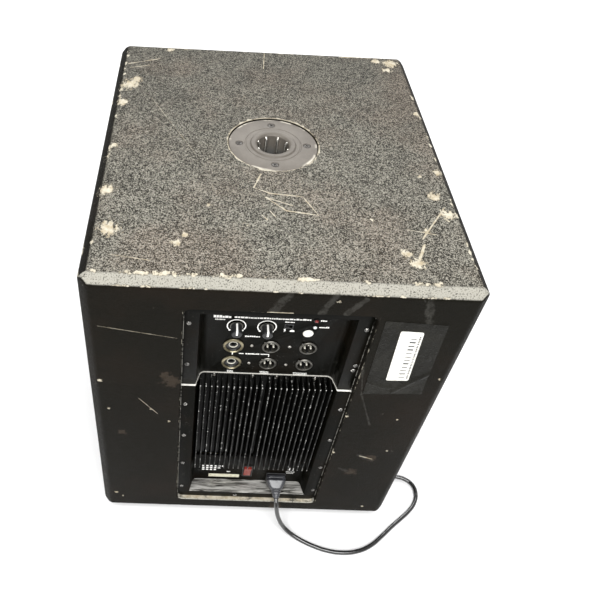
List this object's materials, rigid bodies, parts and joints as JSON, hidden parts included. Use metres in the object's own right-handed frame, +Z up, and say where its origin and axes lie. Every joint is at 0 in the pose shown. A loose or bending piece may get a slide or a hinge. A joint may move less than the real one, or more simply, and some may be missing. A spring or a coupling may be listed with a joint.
{
  "type": "powered live-sound subwoofer",
  "caption": "Chamfered cabinet subwoofer with rear amplifier plate, heatsink fins, level knobs, top pole socket, grille, side handles and mains lead.",
  "frame": {"origin": "on the floor, under the middle of the cabinet", "axes": "+Z up; +Y out of the rear, where the amplifier is; -Y out of the front grille; -X is the side that the mains lead lies on"},
  "size_m": [0.5746, 0.5976, 0.546],
  "materials": {
    "textured_black_paint": "textured spray paint on plywood, worn through to wood and filler at the edges",
    "flat_black_paint": "thin flat black paint on plywood",
    "bare_board": "bare plywood",
    "foot_rubber": "matte moulded rubber",
    "grille_steel": "black powder coat on perforated steel",
    "black_plastic": "moulded black plastic",
    "cast_alloy": "grey cast alloy, satin",
    "plain_steel": "plain plated steel",
    "paper_pulp": "black paper pulp",
    "treated_cloth": "doped black cloth",
    "coil_copper": "enamelled copper wire",
    "ferrite": "dark grey ceramic ferrite",
    "plate_black": "semi-gloss black enamel on steel",
    "black_anodised": "black anodised aluminium",
    "board_green": "glass-epoxy circuit board with solder mask",
    "brass_ring": "plated brass contact ring",
    "red_plastic": "red moulded plastic",
    "red_lens": "red lamp lens",
    "clear_lens": "milky lamp lens",
    "lead_pvc": "black flexible PVC"
  },
  "bodies": {
    "cabinet_body": {"top_panel": "textured_black_paint", "bottom_panel": "textured_black_paint", "left_panel": "textured_black_paint", "right_panel": "textured_black_paint", "rear_panel": "textured_black_paint", "front_baffle": "flat_black_paint", "cross_brace": "bare_board", "foot_1": "foot_rubber", "foot_2": "foot_rubber", "foot_3": "foot_rubber", "foot_4": "foot_rubber", "driver_gasket": "foot_rubber", "front_grille": "grille_steel", "left_port_tube": "black_plastic", "right_port_tube": "black_plastic", "left_handle": "black_plastic", "right_handle": "black_plastic", "power_switch_frame": "black_plastic", "mains_inlet": "black_plastic", "filter_capacitor_1": "black_plastic", "filter_capacitor_2": "black_plastic", "pole_socket": "cast_alloy", "driver_basket": "cast_alloy", "socket_screw_1": "plain_steel", "socket_screw_2": "plain_steel", "socket_screw_3": "plain_steel", "socket_screw_4": "plain_steel", "magnet_top_plate": "plain_steel", "magnet_back_plate": "plain_steel", "amplifier_cover": "plain_steel", "output_socket_1": "plain_steel", "output_socket_2": "plain_steel", "output_socket_3": "plain_steel", "output_socket_4": "plain_steel", "driver_surround": "treated_cloth", "driver_spider": "treated_cloth", "toroidal_transformer": "coil_copper", "ferrite_magnet": "ferrite", "control_panel": "plate_black", "lower_plate": "plate_black", "heatsink": "black_anodised", "input_board": "board_green", "power_board": "board_green", "input_socket_1": "brass_ring", "input_socket_2": "brass_ring", "clip_led": "red_lens", "limit_led": "clear_lens", "lead_plug": "lead_pvc", "mains_lead": "lead_pvc", "lead_coil": "lead_pvc", "wall_plug": "lead_pvc"},
    "cone_assembly": {"driver_cone": "paper_pulp", "dust_cap": "paper_pulp", "voice_coil": "coil_copper"},
    "volume_knob_body": {"volume_knob": "black_plastic"},
    "crossover_knob_body": {"crossover_knob": "black_plastic"},
    "phase_tab_body": {"phase_switch_tab": "black_plastic"},
    "rocker_body": {"power_rocker": "red_plastic"}
  },
  "joints": [
    {"name": "cone_stroke", "type": "slide", "parent": "cabinet_body", "child": "cone_assembly", "axis": [0, 1, 0], "range_m": [-0.006, 0.006], "stiffness_N_per_m": 6000, "deforming": ["driver_surround", "driver_spider"]},
    {"name": "volume_turn", "type": "hinge", "parent": "cabinet_body", "child": "volume_knob_body", "pos_m": [0.046, 0.2574, 0.444], "axis": [0, -1, 0], "range_deg": [-150, 150]},
    {"name": "crossover_turn", "type": "hinge", "parent": "cabinet_body", "child": "crossover_knob_body", "pos_m": [0.009, 0.2574, 0.444], "axis": [0, -1, 0], "range_deg": [-150, 150]},
    {"name": "phase_slide", "type": "slide", "parent": "cabinet_body", "child": "phase_tab_body", "axis": [-1, 0, 0], "range_m": [0, 0.004]},
    {"name": "power_rock", "type": "hinge", "parent": "cabinet_body", "child": "rocker_body", "pos_m": [0.0005, 0.2368, 0.091], "axis": [1, 0, 0], "range_deg": [0, 16]}
  ]
}
